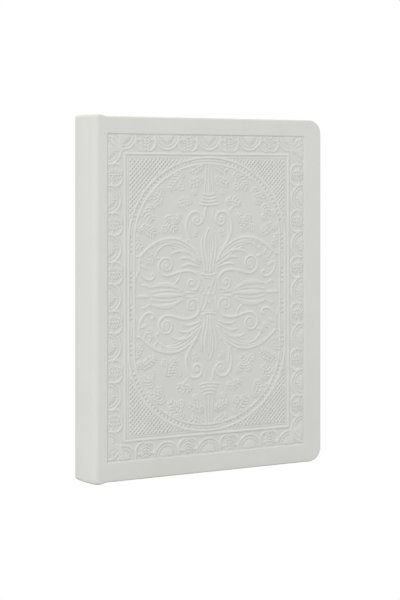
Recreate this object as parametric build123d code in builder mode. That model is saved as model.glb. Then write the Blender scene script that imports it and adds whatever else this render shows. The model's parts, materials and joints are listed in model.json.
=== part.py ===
"""Hardcover leather journal: two hinged covers, a spine and a block of pages.

Frame: millimetres. The closed book stands on its tail. +Z runs up from tail to head, +X from the
spine to the fore-edge, and the front cover faces -Y. The origin is the centre of the bounding box
at its lowest plane, so the spine's tail cap stands on Z = 0.
"""
from build123d import *
from math import asin, degrees, sqrt
import os

os.makedirs("parts", exist_ok=True)

# ---- driving dimensions -----------------------------------------------------------------------
book_width = 153.0           # spine to fore-edge, outside
book_height = 203.0          # tail to head, outside, at the boards
book_thickness = 26.0        # front face to back face, closed

leather_thickness = 1.0      # over boards and spine
turn_in_thickness = 0.5      # leather pared thin where it is turned over an edge
turn_in_width = 15.0         # how far it is turned in
board_thickness = 2.5
cover_corner_radius = 8.0    # round corners at the fore-edge
cover_edge_radius = 0.9      # leather drawn round the boards' outer edges
turn_edge_radius = 0.3       # the same leather at its inner edge

spine_corner_radius = 3.5    # between the spine's face and each cover's face
spine_crown_radius = 80.0    # the spine's face is crowned this gently
spine_flat = 0.3             # flat run of the spine's leather on each face, up to the hinge
cap_rise = 0.9               # headcap and tailcap stand this proud of the boards
cap_edge_radius = 1.2
stiffener_thickness = 0.8

hinge_gap = 0.6              # slit in the leather on the hinge line
hinge_outset = 0.15          # the hinge axis lies this far outside the cover's face
joint_width = 6.0            # spine's face to the board's near edge

square = 3.0                 # how far the covers stand beyond the pages
page_corner_radius = 5.0
paper_thickness = 0.2        # endpapers
cover_clearance = 0.3        # between a closed cover and the block
spine_hollow = 0.4           # air between the block's back and the spine

lining_thickness = 0.2       # kraft paper on the block's back
mull_thickness = 0.3         # open cloth under it
lining_margin = 12.0         # lining and mull stop this far short of the block's ends
band_tape = 9.0              # depth of each headband's tape
band_bead_radius = 1.0       # stitched bead of each headband

# embossed panel on the front cover
emboss_depth = 0.45
panel_margin_spine = 8.75    # spine to the panel
panel_margin_fore = 12.1     # fore-edge to the panel
panel_margin_head = 9.6      # head to the panel
panel_margin_tail = 10.7     # tail to the panel
border_width = 10.6          # leaf border round the panel
frame_line_width = 1.2       # raised frame between border and field
oval_side_gap = 2.1          # frame to the oval's sides
oval_end_gap = 0.6           # frame to the oval's ends
oval_end_height = 48.0       # half ellipse above and below the oval's straight sides
oval_line_width = 0.9
oval_line_gap = 2.4          # clear band between the oval's two raised lines

# ---- places worked out from them --------------------------------------------------------------
half_thickness = book_thickness / 2
board_half_height = book_height / 2
stand_height = cap_rise                              # the boards' tail edges above Z = 0
mid_height = stand_height + board_half_height
spine_face = -book_width / 2
fore_edge = book_width / 2

leather_wrap = leather_thickness + board_thickness + turn_in_thickness
wrap_inner = half_thickness - leather_wrap           # inner face of the turn-ins
board_inner = half_thickness - leather_thickness - board_thickness

crown_centre_x = spine_face + spine_crown_radius
corner_centre_y = half_thickness - spine_corner_radius
corner_reach = spine_crown_radius - spine_corner_radius      # between the two arcs' centres
corner_centre_x = crown_centre_x - sqrt(corner_reach**2 - corner_centre_y**2)
crown_angle = degrees(asin(corner_centre_y / corner_reach))  # half of the crown's arc
spine_edge = corner_centre_x + spine_flat            # free edge of the spine's leather
cover_edge = spine_edge + hinge_gap                  # free edge of each cover's leather
hinge_x = spine_edge + hinge_gap / 2
hinge_y = half_thickness + hinge_outset
board_edge = spine_face + joint_width

spine_inner = leather_thickness + stiffener_thickness + turn_in_thickness
shoulder_x = crown_centre_x - sqrt((spine_crown_radius - spine_inner)**2 - corner_centre_y**2)

page_half_thickness = wrap_inner - 2 * paper_thickness - cover_clearance
page_half_height = board_half_height - square
page_fore_edge = fore_edge - square
block_back = shoulder_x + spine_hollow + lining_thickness + mull_thickness

panel_left = spine_face + panel_margin_spine
panel_right = fore_edge - panel_margin_fore
panel_half_width = (panel_right - panel_left) / 2
panel_half_height = board_half_height - (panel_margin_head + panel_margin_tail) / 2
panel_centre = ((panel_left + panel_right) / 2, (panel_margin_tail - panel_margin_head) / 2)

field_half_width = panel_half_width - border_width - frame_line_width      # inside the frame
field_half_height = panel_half_height - border_width - frame_line_width
oval_half_width = field_half_width - oval_side_gap
oval_straight = field_half_height - oval_end_gap - oval_end_height         # half of each side

FRONT = -1                   # the front cover lies on the -Y side
BACK = 1


# ---- helpers ----------------------------------------------------------------------------------
def facing(side, depth):
    """Plane at Y = side * depth, facing outwards, with its origin at mid height and x along +X."""
    return Plane(origin=(0, side * depth, mid_height), x_dir=(1, 0, 0), z_dir=(0, side, 0))


def sheet(left, right, half_height, corner=0.0):
    """Draw a sheet from left to right, with its two fore-edge corners rounded."""
    with Locations(((left + right) / 2, 0)):
        Rectangle(right - left, 2 * half_height)
    if corner > 0:
        fillet(vertices().group_by(Axis.X)[-1], corner)


def oval(inset):
    """Sketch the long oval, drawn in by inset: straight sides with half an ellipse at each end."""
    half_width = oval_half_width - inset
    end_height = oval_end_height - inset
    with BuildSketch(Plane.XY) as shape:
        with BuildLine():
            Line((half_width, -oval_straight), (half_width, oval_straight))
            EllipticalCenterArc((0, oval_straight), half_width, end_height, 0, arc_size=180)
            Line((-half_width, oval_straight), (-half_width, -oval_straight))
            EllipticalCenterArc((0, -oval_straight), half_width, end_height, 180, arc_size=180)
        make_face()
    return shape.sketch


def save(part, name):
    """Label a finished piece and write it."""
    part.label = name
    export_step(part, f"parts/{name}.step")


# ---- covers -----------------------------------------------------------------------------------
def cover_leather(side):
    """Leather drawn over one board and turned in at the head, tail and fore-edge."""
    with BuildPart() as leather:
        with BuildSketch(facing(side, wrap_inner)):
            sheet(cover_edge, fore_edge, board_half_height, cover_corner_radius)
        extrude(amount=leather_wrap)
        wrapped = leather.edges().filter_by_position(Axis.X, cover_edge + 1, fore_edge + 1)
        across = leather.faces().sort_by(Axis.Y)
        outer, inner = (across[0], across[-1]) if side == FRONT else (across[-1], across[0])
        fillet([e for e in outer.edges() if e in wrapped], cover_edge_radius)
        fillet([e for e in inner.edges() if e in wrapped], turn_edge_radius)
        # pocket that the board fills, open along the hinge
        with BuildSketch(facing(side, board_inner)):
            sheet(cover_edge, fore_edge - leather_thickness, board_half_height - leather_thickness,
                  cover_corner_radius - leather_thickness)
        extrude(amount=board_thickness, mode=Mode.SUBTRACT)
        # window inside the turn-ins
        with BuildSketch(facing(side, wrap_inner)):
            sheet(cover_edge, fore_edge - turn_in_width, board_half_height - turn_in_width)
        extrude(amount=turn_in_thickness, mode=Mode.SUBTRACT)
        if side == FRONT:
            extrude(panel_ground(), amount=emboss_depth, mode=Mode.SUBTRACT)
    return leather.part


def panel_ground():
    """Sketch the ground pressed into the front leather, around its raised frame and oval lines."""
    with BuildSketch(facing(FRONT, half_thickness - emboss_depth)) as ground:
        with Locations(panel_centre):
            Rectangle(2 * panel_half_width, 2 * panel_half_height)
            Rectangle(2 * (field_half_width + frame_line_width),
                      2 * (field_half_height + frame_line_width), mode=Mode.SUBTRACT)
            Rectangle(2 * field_half_width, 2 * field_half_height)
            for inset in (0, oval_line_width + oval_line_gap):
                add(oval(inset), mode=Mode.SUBTRACT)
                add(oval(inset + oval_line_width))
    return ground.sketch


def cover_board(side):
    """Stiff board inside one cover."""
    with BuildPart() as board:
        with BuildSketch(facing(side, board_inner)):
            sheet(board_edge, fore_edge - leather_thickness, board_half_height - leather_thickness,
                  cover_corner_radius - leather_thickness)
        extrude(amount=board_thickness)
    return board.part


def pastedown(side):
    """Endpaper pasted inside one cover: it steps down from the turn-ins on to the bare board."""
    window_half_height = board_half_height - turn_in_width
    window_fore_edge = fore_edge - turn_in_width
    with BuildPart() as paper:
        with BuildSketch(facing(side, wrap_inner - paper_thickness)):
            sheet(board_edge, page_fore_edge, page_half_height, page_corner_radius)
        extrude(amount=paper_thickness + turn_in_thickness)
        # the turn-ins under its rim
        with BuildSketch(facing(side, wrap_inner)):
            sheet(board_edge, page_fore_edge, page_half_height, page_corner_radius)
            sheet_window(board_edge, window_fore_edge, window_half_height)
        extrude(amount=turn_in_thickness, mode=Mode.SUBTRACT)
        # the hollow of the step
        with BuildSketch(facing(side, wrap_inner - paper_thickness)):
            sheet(board_edge, window_fore_edge - paper_thickness,
                  window_half_height - paper_thickness)
        extrude(amount=turn_in_thickness, mode=Mode.SUBTRACT)
    return paper.part


def sheet_window(left, right, half_height):
    """Cut a sheet's window out of the sketch being drawn."""
    with Locations(((left + right) / 2, 0)):
        Rectangle(right - left, 2 * half_height, mode=Mode.SUBTRACT)


# ---- spine ------------------------------------------------------------------------------------
def spine_outline(inset):
    """Draw the spine's plan up to its leather's free edge, all of it drawn in by inset."""
    half = half_thickness - inset
    corner = spine_corner_radius - inset
    turn = 90 - crown_angle
    with BuildLine() as outline:
        CenterArc((crown_centre_x, 0), spine_crown_radius - inset, 180 - crown_angle,
                  arc_size=2 * crown_angle)
        CenterArc((corner_centre_x, corner_centre_y), corner, 90, arc_size=turn)
        CenterArc((corner_centre_x, -corner_centre_y), corner, 270, arc_size=-turn)
        Polyline((corner_centre_x, half), (spine_edge, half), (spine_edge, -half),
                 (corner_centre_x, -half))
    make_face(outline.edges())


def crowned_strip(inset, thickness):
    """Draw the plan of a strip inside the spine's crown, between its two corners."""
    outer = spine_crown_radius - inset
    inner = outer - thickness
    with BuildLine() as outline:
        front = CenterArc((crown_centre_x, 0), outer, 180 - crown_angle, arc_size=2 * crown_angle)
        back = CenterArc((crown_centre_x, 0), inner, 180 - crown_angle, arc_size=2 * crown_angle)
        Line(front @ 0, back @ 0)
        Line(front @ 1, back @ 1)
    make_face(outline.edges())


def spine_leather():
    """Leather round the spine, capped and turned in at head and tail."""
    full_height = book_height + 2 * cap_rise
    cap_thickness = leather_thickness + cap_rise
    with BuildPart() as spine:
        with BuildSketch(Plane.XY):
            spine_outline(0)
        extrude(amount=full_height)
        rims = spine.faces().filter_by(Axis.Z).edges()
        fillet(rims.filter_by_position(Axis.X, spine_face - 1, spine_edge - 0.1), cap_edge_radius)
        # the hollow inside the turn-ins, open from end to end
        with BuildSketch(Plane.XY):
            spine_outline(spine_inner)
        extrude(amount=full_height, mode=Mode.SUBTRACT)
        # the rest of the inside, between the caps
        with BuildSketch(Plane.XY.offset(cap_thickness)):
            spine_outline(leather_thickness)
        extrude(amount=full_height - 2 * cap_thickness, mode=Mode.SUBTRACT)
        # leather turned in behind the stiffener
        turn_in_height = turn_in_width - leather_thickness
        for foot in (cap_thickness, full_height - cap_thickness - turn_in_height):
            with BuildSketch(Plane.XY.offset(foot)):
                crowned_strip(leather_thickness + stiffener_thickness, turn_in_thickness)
            extrude(amount=turn_in_height)
    return spine.part


def spine_stiffener():
    """Card strip that keeps the spine's shape."""
    with BuildPart() as card:
        with BuildSketch(Plane.XY.offset(stand_height + leather_thickness)):
            crowned_strip(leather_thickness, stiffener_thickness)
        extrude(amount=book_height - 2 * leather_thickness)
    return card.part


# ---- block ------------------------------------------------------------------------------------
def text_block():
    """All the pages as one solid, with round corners at the fore-edge."""
    with BuildPart() as pages:
        with BuildSketch(facing(BACK, -page_half_thickness)):
            sheet(block_back, page_fore_edge, page_half_height, page_corner_radius)
        extrude(amount=2 * page_half_thickness)
    return pages.part


def flyleaf(side):
    """Loose half of an endpaper, lying on the block."""
    with BuildPart() as paper:
        with BuildSketch(facing(side, page_half_thickness)):
            sheet(block_back, page_fore_edge, page_half_height, page_corner_radius)
        extrude(amount=paper_thickness)
    return paper.part


def back_strip(distance, thickness, half_height):
    """Strip across the block's back, standing clear of it by distance."""
    with BuildPart() as strip:
        with Locations((block_back - distance, 0, mid_height)):
            Box(thickness, 2 * page_half_thickness, 2 * half_height,
                align=(Align.MAX, Align.CENTER, Align.CENTER))
    return strip.part


def headband(end):
    """Stitched bead along one end of the block's back, on a tape pasted to the back."""
    block_end = mid_height + end * page_half_height
    tape_align = Align.MAX if end > 0 else Align.MIN
    with BuildPart() as band:
        with Locations((block_back, 0, block_end)):
            Box(mull_thickness, 2 * page_half_thickness, band_tape,
                align=(Align.MAX, Align.CENTER, tape_align))
        with BuildSketch(Plane.XZ.offset(-page_half_thickness)):
            with Locations((block_back + band_bead_radius - mull_thickness, block_end)):
                Circle(band_bead_radius)
            with Locations((block_back + band_bead_radius - mull_thickness, block_end)):
                Rectangle(2 * band_bead_radius, band_bead_radius, mode=Mode.SUBTRACT,
                          align=(Align.CENTER, Align.MAX if end > 0 else Align.MIN))
            with Locations((block_back - mull_thickness, block_end)):
                Rectangle(mull_thickness, band_bead_radius,
                          align=(Align.MIN, Align.MAX if end > 0 else Align.MIN))
        extrude(amount=2 * page_half_thickness)
    return band.part


# ---- every piece ------------------------------------------------------------------------------
for side, word in ((FRONT, "front"), (BACK, "back")):
    save(cover_leather(side), f"{word}_cover_leather")
    save(cover_board(side), f"{word}_board")
    save(pastedown(side), f"{word}_pastedown")
    save(flyleaf(side), f"{word}_flyleaf")

save(spine_leather(), "spine_leather")
save(spine_stiffener(), "spine_stiffener")
save(text_block(), "text_block")
lining_half_height = page_half_height - lining_margin
save(back_strip(0, mull_thickness, lining_half_height), "spine_mull")
save(back_strip(mull_thickness, lining_thickness, lining_half_height), "spine_lining")
save(headband(1), "head_band")
save(headband(-1), "tail_band")
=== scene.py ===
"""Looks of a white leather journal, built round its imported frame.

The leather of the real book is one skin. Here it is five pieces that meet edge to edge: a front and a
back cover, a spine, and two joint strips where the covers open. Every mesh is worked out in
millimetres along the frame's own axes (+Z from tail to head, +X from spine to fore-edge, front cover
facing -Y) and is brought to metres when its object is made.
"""

import json
import logging
import math
from collections.abc import Callable, Iterable, Iterator, Sequence
from dataclasses import dataclass
from enum import Enum, IntEnum

import bmesh
import bpy
import numpy as np
from mathutils import Matrix, Vector


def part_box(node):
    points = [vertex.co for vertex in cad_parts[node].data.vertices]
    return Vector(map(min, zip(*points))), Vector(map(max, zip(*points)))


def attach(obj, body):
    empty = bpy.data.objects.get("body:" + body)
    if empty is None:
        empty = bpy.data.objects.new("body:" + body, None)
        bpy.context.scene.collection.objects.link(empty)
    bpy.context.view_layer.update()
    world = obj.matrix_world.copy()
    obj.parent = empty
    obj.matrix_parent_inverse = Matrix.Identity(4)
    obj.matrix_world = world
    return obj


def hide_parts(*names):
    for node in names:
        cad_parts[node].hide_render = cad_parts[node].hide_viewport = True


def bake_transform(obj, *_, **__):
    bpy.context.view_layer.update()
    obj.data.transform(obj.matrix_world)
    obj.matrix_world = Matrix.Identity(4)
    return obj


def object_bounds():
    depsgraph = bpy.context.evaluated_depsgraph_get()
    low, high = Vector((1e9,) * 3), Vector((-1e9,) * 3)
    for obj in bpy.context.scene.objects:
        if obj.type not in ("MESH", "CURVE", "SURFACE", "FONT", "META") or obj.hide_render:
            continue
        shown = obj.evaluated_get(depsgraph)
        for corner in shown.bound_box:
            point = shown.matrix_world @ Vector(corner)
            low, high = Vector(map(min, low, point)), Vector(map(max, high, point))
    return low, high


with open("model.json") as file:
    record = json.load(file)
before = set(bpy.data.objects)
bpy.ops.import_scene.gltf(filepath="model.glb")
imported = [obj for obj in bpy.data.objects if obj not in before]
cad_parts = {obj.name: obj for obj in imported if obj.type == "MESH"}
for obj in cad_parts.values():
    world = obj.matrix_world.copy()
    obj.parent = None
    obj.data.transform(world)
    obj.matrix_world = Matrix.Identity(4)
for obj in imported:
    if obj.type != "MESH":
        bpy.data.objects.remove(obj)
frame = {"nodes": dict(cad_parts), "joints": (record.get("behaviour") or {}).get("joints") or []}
cad_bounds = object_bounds()

LOG = logging.getLogger("journal")
MM = 0.001
SEED = 7
# Points closer than this many millimetres are merged.
MERGE_DISTANCE = 1e-3
# Rounding of the turned-in leather's edge, as a share of its thickness.
TURN_IN_ROUNDING = 0.4

Path = np.ndarray
Point = tuple[float, float]
Colour = tuple[float, float, float]
Widths = tuple[float, float, float]
Faces = list[list[int]]
Place = Callable[[float, float], Point]


# ---- sizes read from the frame -------------------------------------------------------------------
class Side(Enum):
    """Which cover a piece belongs to; the value is the sign of its Y."""

    FRONT = -1
    BACK = 1

    @property
    def word(self) -> str:
        """Name of the side as the nodes and bodies spell it."""
        return self.name.lower()

    @property
    def body(self) -> str:
        """Body that the side's cover rides on."""
        return f"{self.word}_cover"


@dataclass(frozen=True)
class Box:
    """Extent of one node at rest, in millimetres: its reach along X, along Y and along Z."""

    left: float
    right: float
    front: float
    back: float
    foot: float
    head: float

    @classmethod
    def of(cls, node: str) -> "Box":
        """Read a node's extent from the frame."""
        return cls(*(np.array(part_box(node)).T.ravel() / MM).tolist())


@dataclass(frozen=True)
class Panel:
    """Middle, half width and half height of the pressed panel, in millimetres."""

    centre: Point
    half_width: float
    half_height: float


@dataclass(frozen=True)
class Sizes:
    """Sizes of the closed book, in millimetres. The front half is read and the back mirrors it."""

    cover: Box
    board: Box
    spine: Box
    pages: Box
    pastedown: Box
    flyleaf: Box
    hinge: Point
    corner_radius: float = 8.0
    edge_radius: float = 0.9
    turn_in: float = 15.0
    flex_reach: float = 1.1
    panel_margin_spine: float = 8.75
    panel_margin_fore: float = 12.1
    panel_margin_head: float = 9.6
    panel_margin_tail: float = 10.7

    @classmethod
    def of_frame(cls) -> "Sizes":
        """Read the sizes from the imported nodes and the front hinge.

        Returns:
            The sizes of the closed book.
        """
        hinges = {joint["name"]: joint for joint in frame["joints"]}
        hinge = np.array(hinges["front_cover_hinge"]["pos_m"]) / MM
        return cls(Box.of("front_cover_leather"), Box.of("front_board"), Box.of("spine_leather"),
                   Box.of("text_block"), Box.of("front_pastedown"), Box.of("front_flyleaf"),
                   (float(hinge[0]), float(-hinge[1])))

    @property
    def face(self) -> float:
        """Distance from the book's middle plane to a cover's outer face."""
        return -self.cover.front

    @property
    def depth(self) -> float:
        """Thickness of a cover with its leather."""
        return self.cover.back - self.cover.front

    @property
    def leather(self) -> float:
        """Thickness of the leather."""
        return self.board.front - self.cover.front

    @property
    def turned(self) -> float:
        """Thickness of the leather where it is turned in."""
        return self.cover.back - self.board.back

    @property
    def mid_height(self) -> float:
        """Height of the book's middle."""
        return (self.cover.foot + self.cover.head) / 2

    @property
    def half_height(self) -> float:
        """Half of a cover's height."""
        return (self.cover.head - self.cover.foot) / 2

    @property
    def cap_rise(self) -> float:
        """How far the spine's caps stand beyond the covers."""
        return self.spine.head - self.cover.head

    @property
    def flex(self) -> Point:
        """X where the leather starts and stops bending at the joints."""
        return self.hinge[0] - self.flex_reach, self.hinge[0] + self.flex_reach

    @property
    def panel(self) -> Panel:
        """Where the pressed panel lies on the front cover.

        Returns:
            Its middle and half sizes, measured from the whole book's outline.
        """
        left = self.spine.left + self.panel_margin_spine
        right = self.cover.right - self.panel_margin_fore
        low = self.cover.foot + self.panel_margin_tail
        high = self.cover.head - self.panel_margin_head
        return Panel(((left + right) / 2, (low + high) / 2), (right - left) / 2, (high - low) / 2)


# ---- mesh helpers --------------------------------------------------------------------------------
def smooth(value: np.ndarray | float) -> np.ndarray:
    """Ease from 0 to 1 with level ends.

    Args:
        value: how far along, where 0 is the start and 1 the end.

    Returns:
        The eased value, held at 0 and 1 outside that range.
    """
    t = np.clip(value, 0.0, 1.0)
    return t * t * (3 - 2 * t)


def arc(centre: Point, radius: Point | float, start: float, end: float, count: int) -> Path:
    """Points along a circular or elliptical arc.

    Args:
        centre: the arc's centre.
        radius: one radius, or the two half axes.
        start: first angle in degrees.
        end: last angle in degrees.
        count: number of points, both ends included.

    Returns:
        One row of two numbers for each point.
    """
    angles = np.radians(np.linspace(start, end, count))
    spread = np.broadcast_to(np.asarray(radius, float), (2,))
    return np.asarray(centre) + spread * np.column_stack((np.cos(angles), np.sin(angles)))


def apply_modifiers(piece: bpy.types.Object) -> None:
    """Bake a piece's modifiers into its mesh.

    Args:
        piece: the piece, which is left without modifiers.
    """
    evaluated = piece.evaluated_get(bpy.context.evaluated_depsgraph_get())
    mesh = bpy.data.meshes.new_from_object(evaluated)
    piece.modifiers.clear()
    piece.data = mesh


def make_piece(name: str, points: np.ndarray, faces: Iterable[Sequence[int]],
               material: bpy.types.Material, triangles: int = 0,
               sharp: float = 40.0) -> bpy.types.Object:
    """Make one object from points in millimetres.

    Args:
        name: the object's name.
        points: one row of X, Y, Z for each vertex.
        faces: vertex numbers of each face; points that coincide are merged.
        material: the finish of the whole piece.
        triangles: reduce the mesh to about this many triangles; 0 keeps all of it.
        sharp: edges that turn by more degrees than this stay sharp.

    Returns:
        The linked object, in metres.
    """
    mesh = bpy.data.meshes.new(name)
    mesh.from_pydata(np.asarray(points).tolist(), [], [list(face) for face in faces])
    cleaned = bmesh.new()
    cleaned.from_mesh(mesh)
    bmesh.ops.remove_doubles(cleaned, verts=cleaned.verts, dist=MERGE_DISTANCE)
    bmesh.ops.recalc_face_normals(cleaned, faces=cleaned.faces)
    cleaned.to_mesh(mesh)
    cleaned.free()
    piece = bpy.data.objects.new(name, mesh)
    bpy.context.scene.collection.objects.link(piece)
    if triangles:
        now = sum(len(face.vertices) - 2 for face in mesh.polygons)
        piece.modifiers.new("reduce", "DECIMATE").ratio = min(1.0, triangles / now)
        apply_modifiers(piece)
    piece.data.transform(Matrix.Scale(MM, 4))
    piece.data.materials.append(material)
    piece.data.shade_smooth()
    piece.data.set_sharp_from_angle(angle=math.radians(sharp))
    weighted = piece.modifiers.new("normals", "WEIGHTED_NORMAL")
    weighted.keep_sharp = True
    apply_modifiers(piece)
    piece.data.name = name
    return piece


def join_loops(first: Sequence[int], second: Sequence[int], closed: bool) -> Faces:
    """Quads between two loops of equal length.

    Args:
        first: vertex numbers of one loop.
        second: vertex numbers of the other.
        closed: whether each loop runs back to its start.

    Returns:
        The quads, with any that has lost a side as a triangle.
    """
    count = len(first)
    faces = []
    for i in range(count if closed else count - 1):
        j = (i + 1) % count
        corners = list(dict.fromkeys((first[i], first[j], second[j], second[i])))
        if len(corners) > 2:
            faces.append(corners)
    return faces


@dataclass(frozen=True)
class Outline:
    """A sheet's outline seen from the front: square at the hinge, round at the fore-edge."""

    left: float
    right: float
    low: float
    high: float
    corner: float

    def stations(self, xs: Sequence[float], zs: Sequence[float], turns: int = 9) -> tuple[Path, Path]:
        """Walk round the core, which is the outline drawn in by its corner radius.

        Args:
            xs: X of the stations along tail and head, from the hinge outwards.
            zs: Z of the stations along the fore-edge, from tail to head.
            turns: stations on each round corner.

        Returns:
            The core's points and the way outwards at each, from the hinge along the tail, up the
            fore-edge and back along the head.
        """
        xs, zs = np.asarray(xs), np.asarray(zs)
        low, high, right = self.low + self.corner, self.high - self.corner, self.right - self.corner
        runs = [(np.column_stack((xs, np.full(len(xs), low))), np.tile((0.0, -1.0), (len(xs), 1))),
                (np.tile((right, low), (turns, 1)), arc((0, 0), 1.0, -90, 0, turns)),
                (np.column_stack((np.full(len(zs), right), zs)), np.tile((1.0, 0.0), (len(zs), 1))),
                (np.tile((right, high), (turns, 1)), arc((0, 0), 1.0, 0, 90, turns)),
                (np.column_stack((xs[::-1], np.full(len(xs), high))), np.tile((0.0, 1.0), (len(xs), 1)))]
        return np.vstack([run[0] for run in runs]), np.vstack([run[1] for run in runs])

    def loop(self, core: Path, outwards: Path, inset: float) -> Path:
        """Place the stations at a distance inside the outline.

        Args:
            core: points from stations.
            outwards: directions from stations.
            inset: distance inside the outline.

        Returns:
            One row of X and Z for each station.
        """
        if inset <= self.corner:
            return core + outwards * (self.corner - inset)
        return np.column_stack((np.minimum(core[:, 0], self.right - inset),
                                np.clip(core[:, 1], self.low + inset, self.high - inset)))


def wrap_outline(outline: Outline, profile: Sequence[Point] | Path, xs: Sequence[float],
                 zs: Sequence[float], grid: np.ndarray | None = None) -> tuple[np.ndarray, Faces]:
    """Build a closed shell by carrying a profile round an outline, with the hinge side cut flat.

    Args:
        outline: the outline to follow.
        profile: (inset, Y) of each loop, from the middle of one face round to the other's.
        xs: X of the stations along tail and head.
        zs: Z of the stations along the fore-edge.
        grid: Y over the first face, one row for each of zs and one column for each of xs; without
            it that face is one flat polygon.

    Returns:
        The points in millimetres and the faces.
    """
    core, outwards = outline.stations(xs, zs)
    points, loops, faces = [], [], []
    for inset, y in profile:
        flat = outline.loop(core, outwards, inset)
        start = sum(len(block) for block in points)
        points.append(np.column_stack((flat[:, 0], np.full(len(flat), y), flat[:, 1])))
        loops.append(list(range(start, start + len(flat))))
    for first, second in zip(loops, loops[1:]):
        faces += join_loops(first, second, closed=False)
    hinge_side = [loop[0] for loop in loops] + [loop[-1] for loop in reversed(loops)]
    if grid is None:
        faces.append(loops[0])
    else:
        start = sum(len(block) for block in points)
        across, up = np.meshgrid(xs, zs)
        points.append(np.column_stack((across.ravel(), grid.ravel(), up.ravel())))
        numbers = start + np.arange(grid.size).reshape(grid.shape)
        faces += np.stack((numbers[:-1, :-1], numbers[:-1, 1:], numbers[1:, 1:], numbers[1:, :-1]),
                          axis=-1).reshape(-1, 4).tolist()
        hinge_side += numbers[-2:0:-1, 0].tolist()
    faces.append(loops[-1])
    faces.append(hinge_side)
    return np.vstack(points), faces


# ---- finishes ------------------------------------------------------------------------------------
class MixSocket(IntEnum):
    """Numbers of a colour mix node's sockets, whose names are shared with its other types."""

    FACTOR = 0
    FIRST = 6
    SECOND = 7
    RESULT = 2


def wave_scale(pitch: float) -> float:
    """Scale at which a wave texture repeats once in every pitch, given in millimetres."""
    return math.pi / (pitch * MM) / 10


class NodeSheet:
    """One material's nodes, wired in the order in which they are written."""

    def __init__(self, name: str, roughness: float) -> None:
        """Start a material with its shader and output.

        Args:
            name: the material's name.
            roughness: roughness of the whole surface.
        """
        self.material = bpy.data.materials.new(name)
        self.material.use_nodes = True
        self.tree = self.material.node_tree
        self.tree.nodes.clear()
        self.shader = self.add("ShaderNodeBsdfPrincipled")
        self.shader.inputs["Roughness"].default_value = roughness
        output = self.add("ShaderNodeOutputMaterial")
        self.join(self.shader, "BSDF", output, "Surface")
        self.place = self.add("ShaderNodeTexCoord")

    def add(self, kind: str, **values: float | str) -> bpy.types.Node:
        """Add a node.

        Args:
            kind: Blender's name for the node.
            values: settings of the node, or values of its inputs with _ for a space.

        Returns:
            The new node.
        """
        node = self.tree.nodes.new(kind)
        for key, value in values.items():
            if hasattr(node, key):
                setattr(node, key, value)
            else:
                node.inputs[key.replace("_", " ")].default_value = value
        return node

    def join(self, source: bpy.types.Node, output: str | int, target: bpy.types.Node,
             entry: str | int) -> None:
        """Wire one node's output to another's input."""
        self.tree.links.new(source.outputs[output], target.inputs[entry])

    def texture(self, kind: str, **values: float | str) -> bpy.types.Node:
        """Add a texture laid out in the piece's own coordinates, in metres.

        Args:
            kind: Blender's name for the texture node.
            values: settings and input values, as add takes them.

        Returns:
            The new node.
        """
        node = self.add(kind, **values)
        self.join(self.place, "Object", node, "Vector")
        return node

    def ramp(self, source: bpy.types.Node, output: str, dark: Colour, light: Colour,
             low: float = 0.3, high: float = 0.7) -> bpy.types.Node:
        """Turn a texture into a run between two colours.

        Args:
            source: the texture.
            output: which of its outputs to read.
            dark: colour at and below low.
            light: colour at and above high.
            low: texture value where the run starts.
            high: texture value where it ends.

        Returns:
            The ramp node.
        """
        ramp = self.add("ShaderNodeValToRGB")
        ramp.color_ramp.elements[0].position = low
        ramp.color_ramp.elements[0].color = (*dark, 1.0)
        ramp.color_ramp.elements[1].position = high
        ramp.color_ramp.elements[1].color = (*light, 1.0)
        self.join(source, output, ramp, "Fac")
        return ramp

    def paint(self, node: bpy.types.Node, output: str | int = "Color") -> None:
        """Use a node as the surface's colour."""
        self.join(node, output, self.shader, "Base Color")

    def emboss(self, layers: Sequence[tuple[bpy.types.Node, str, float]]) -> None:
        """Stack bump layers on the surface.

        Args:
            layers: for each layer its texture, the output to read and its height in millimetres.
        """
        below = None
        for node, output, height in layers:
            bump = self.add("ShaderNodeBump", Distance=height * MM, Strength=1.0)
            self.join(node, output, bump, "Height")
            if below is not None:
                self.join(below, "Normal", bump, "Normal")
            below = bump
        self.join(below, "Normal", self.shader, "Normal")


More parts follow.
